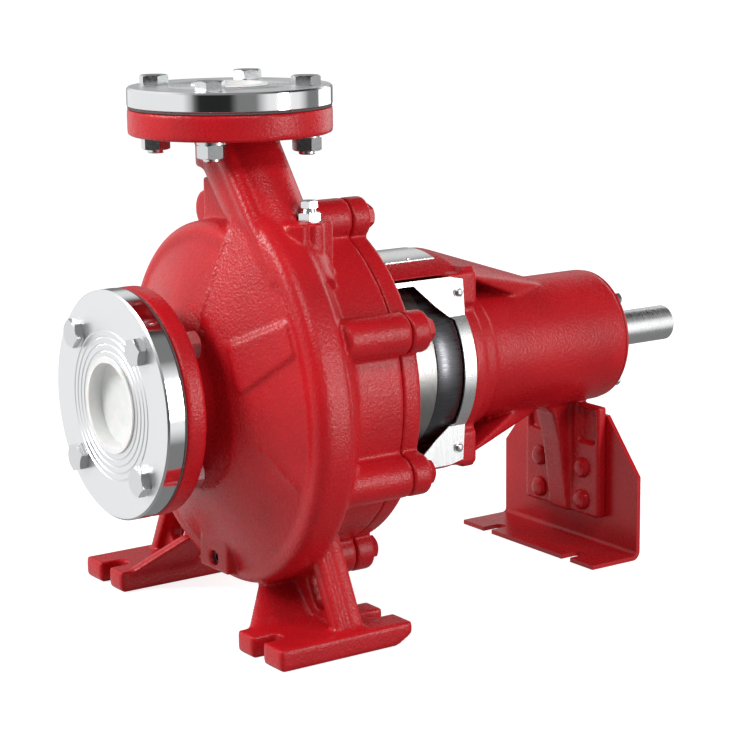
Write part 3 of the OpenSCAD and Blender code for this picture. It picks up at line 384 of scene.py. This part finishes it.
def stage_floor(half=2.6):
    """A white square just under the feet. It throws back light as a dull grey would, and
    glossy surfaces look through it to the surround."""
    floor_mesh = bpy.data.meshes.new("floor")
    floor_mesh.from_pydata([(-half, -half, -0.0004), (half, -half, -0.0004),
                            (half, half, -0.0004), (-half, half, -0.0004)], [], [(0, 1, 2, 3)])
    material, tree, white = shader_material(
        "pale_floor", Base_Color=(*[FLOOR_GREY] * 3, 1.0), Roughness=0.9,
        Specular_IOR_Level=0.0, Emission_Color=(1.0, 1.0, 1.0, 1.0),
        Emission_Strength=FLOOR_GLOW)
    dull = tree.nodes.new("ShaderNodeBsdfDiffuse")
    dull.inputs["Color"].default_value = (*[THROWN_GREY] * 3, 1.0)
    clear = tree.nodes.new("ShaderNodeBsdfTransparent")
    surface = white.outputs["BSDF"]
    for kind, other in (("Is Diffuse Ray", dull), ("Is Glossy Ray", clear)):
        mix = tree.nodes.new("ShaderNodeMixShader")
        tree.links.new(ray_kind(tree, kind), mix.inputs[0])
        tree.links.new(surface, mix.inputs[1])
        tree.links.new(other.outputs["BSDF"], mix.inputs[2])
        surface = mix.outputs["Shader"]
    tree.links.new(surface, tree.nodes["Material Output"].inputs["Surface"])
    floor_mesh.materials.append(material)
    floor = bpy.data.objects.new("floor", floor_mesh)
    bpy.context.scene.collection.objects.link(floor)


# Panels of the surround: azimuth and elevation of the middle, half angle of the even part and
# of the fade, all in degrees, and the grey
PANELS = [(135, 5, 52, 66, 0.93), (-58, 6, 22, 36, 0.95), (-138, -2, 17, 26, 0.02),
          (50, 24, 9, 16, 0.8), (20, 52, 20, 27, 0.02)]


def surround():
    """A grey surround with panels by direction, each laid over the one before. The cosine of
    the angle to a panel's middle says how far inside the panel a direction lies."""
    world = bpy.data.worlds.new("studio")
    bpy.context.scene.world = world
    world.use_nodes = True
    tree = world.node_tree
    place = tree.nodes.new("ShaderNodeTexCoord")
    grey = None
    for azimuth, elevation, even, fade, value in PANELS:
        turn, lift = math.radians(azimuth), math.radians(elevation)
        near = tree.nodes.new("ShaderNodeVectorMath")
        near.operation = "DOT_PRODUCT"
        near.inputs[1].default_value = (math.cos(turn) * math.cos(lift),
                                        math.sin(turn) * math.cos(lift), math.sin(lift))
        tree.links.new(place.outputs["Generated"], near.inputs[0])
        inside = spread(tree, near.outputs["Value"], 0.0, 1.0,
                        math.cos(math.radians(fade)), math.cos(math.radians(even)))
        blend = tree.nodes.new("ShaderNodeMix")
        blend.data_type = "FLOAT"
        tree.links.new(inside, blend.inputs["Factor"])
        blend.inputs["A"].default_value = SURROUND_GREY
        blend.inputs["B"].default_value = value
        if grey:
            tree.links.new(grey, blend.inputs["A"])
        grey = blend.outputs["Result"]
    seen = tree.nodes.new("ShaderNodeMix")
    seen.data_type = "FLOAT"
    tree.links.new(ray_kind(tree, "Is Camera Ray"), seen.inputs["Factor"])
    tree.links.new(grey, seen.inputs["A"])
    seen.inputs["B"].default_value = SEEN_WHITE
    tree.links.new(seen.outputs["Result"], tree.nodes["Background"].inputs["Strength"])
    tree.nodes["Background"].inputs["Color"].default_value = (1.0, 1.0, 1.0, 1.0)


stage_floor()
surround()
bpy.context.scene.view_settings.view_transform = "Standard"
print("surround with", len(PANELS), "panels")

# %% [markdown]
# Four soft boxes light the pump. The key stands on the far left, so the suction flange throws
# its shade over the front of the volute. A tall strip on the right of the camera gives the
# flange rims and the housing their bright side, and a box above the camera draws the long
# highlight down the ridge. A weak one behind lights the drive end, which the camera can't see.

# %% Lights
def area_light(name, place, target, width, height, power):
    """A soft light at `place` that faces `target`."""
    light = bpy.data.lights.new(name, "AREA")
    light.shape, light.size, light.size_y, light.energy = "RECTANGLE", width, height, power
    lamp = bpy.data.objects.new(name, light)
    aim = (Vector(target) - Vector(place)).to_track_quat("-Z", "Y")
    lamp.matrix_world = Matrix.Translation(place) @ aim.to_matrix().to_4x4()
    bpy.context.scene.collection.objects.link(lamp)


area_light("key", (-1.6, 0.6, 1.5), (-0.02, 0.0, 0.3), 0.7, 0.7, 36)
area_light("fill", (1.15, -2.0, 0.55), (0.1, 0.0, 0.2), 0.45, 1.4, 21)
area_light("top", (-0.35, -1.5, 1.9), (0.0, -0.1, 0.3), 0.6, 0.5, 17)
area_light("rear", (2.3, 0.5, 0.7), (0.3, 0.0, 0.2), 1.6, 1.6, 13)
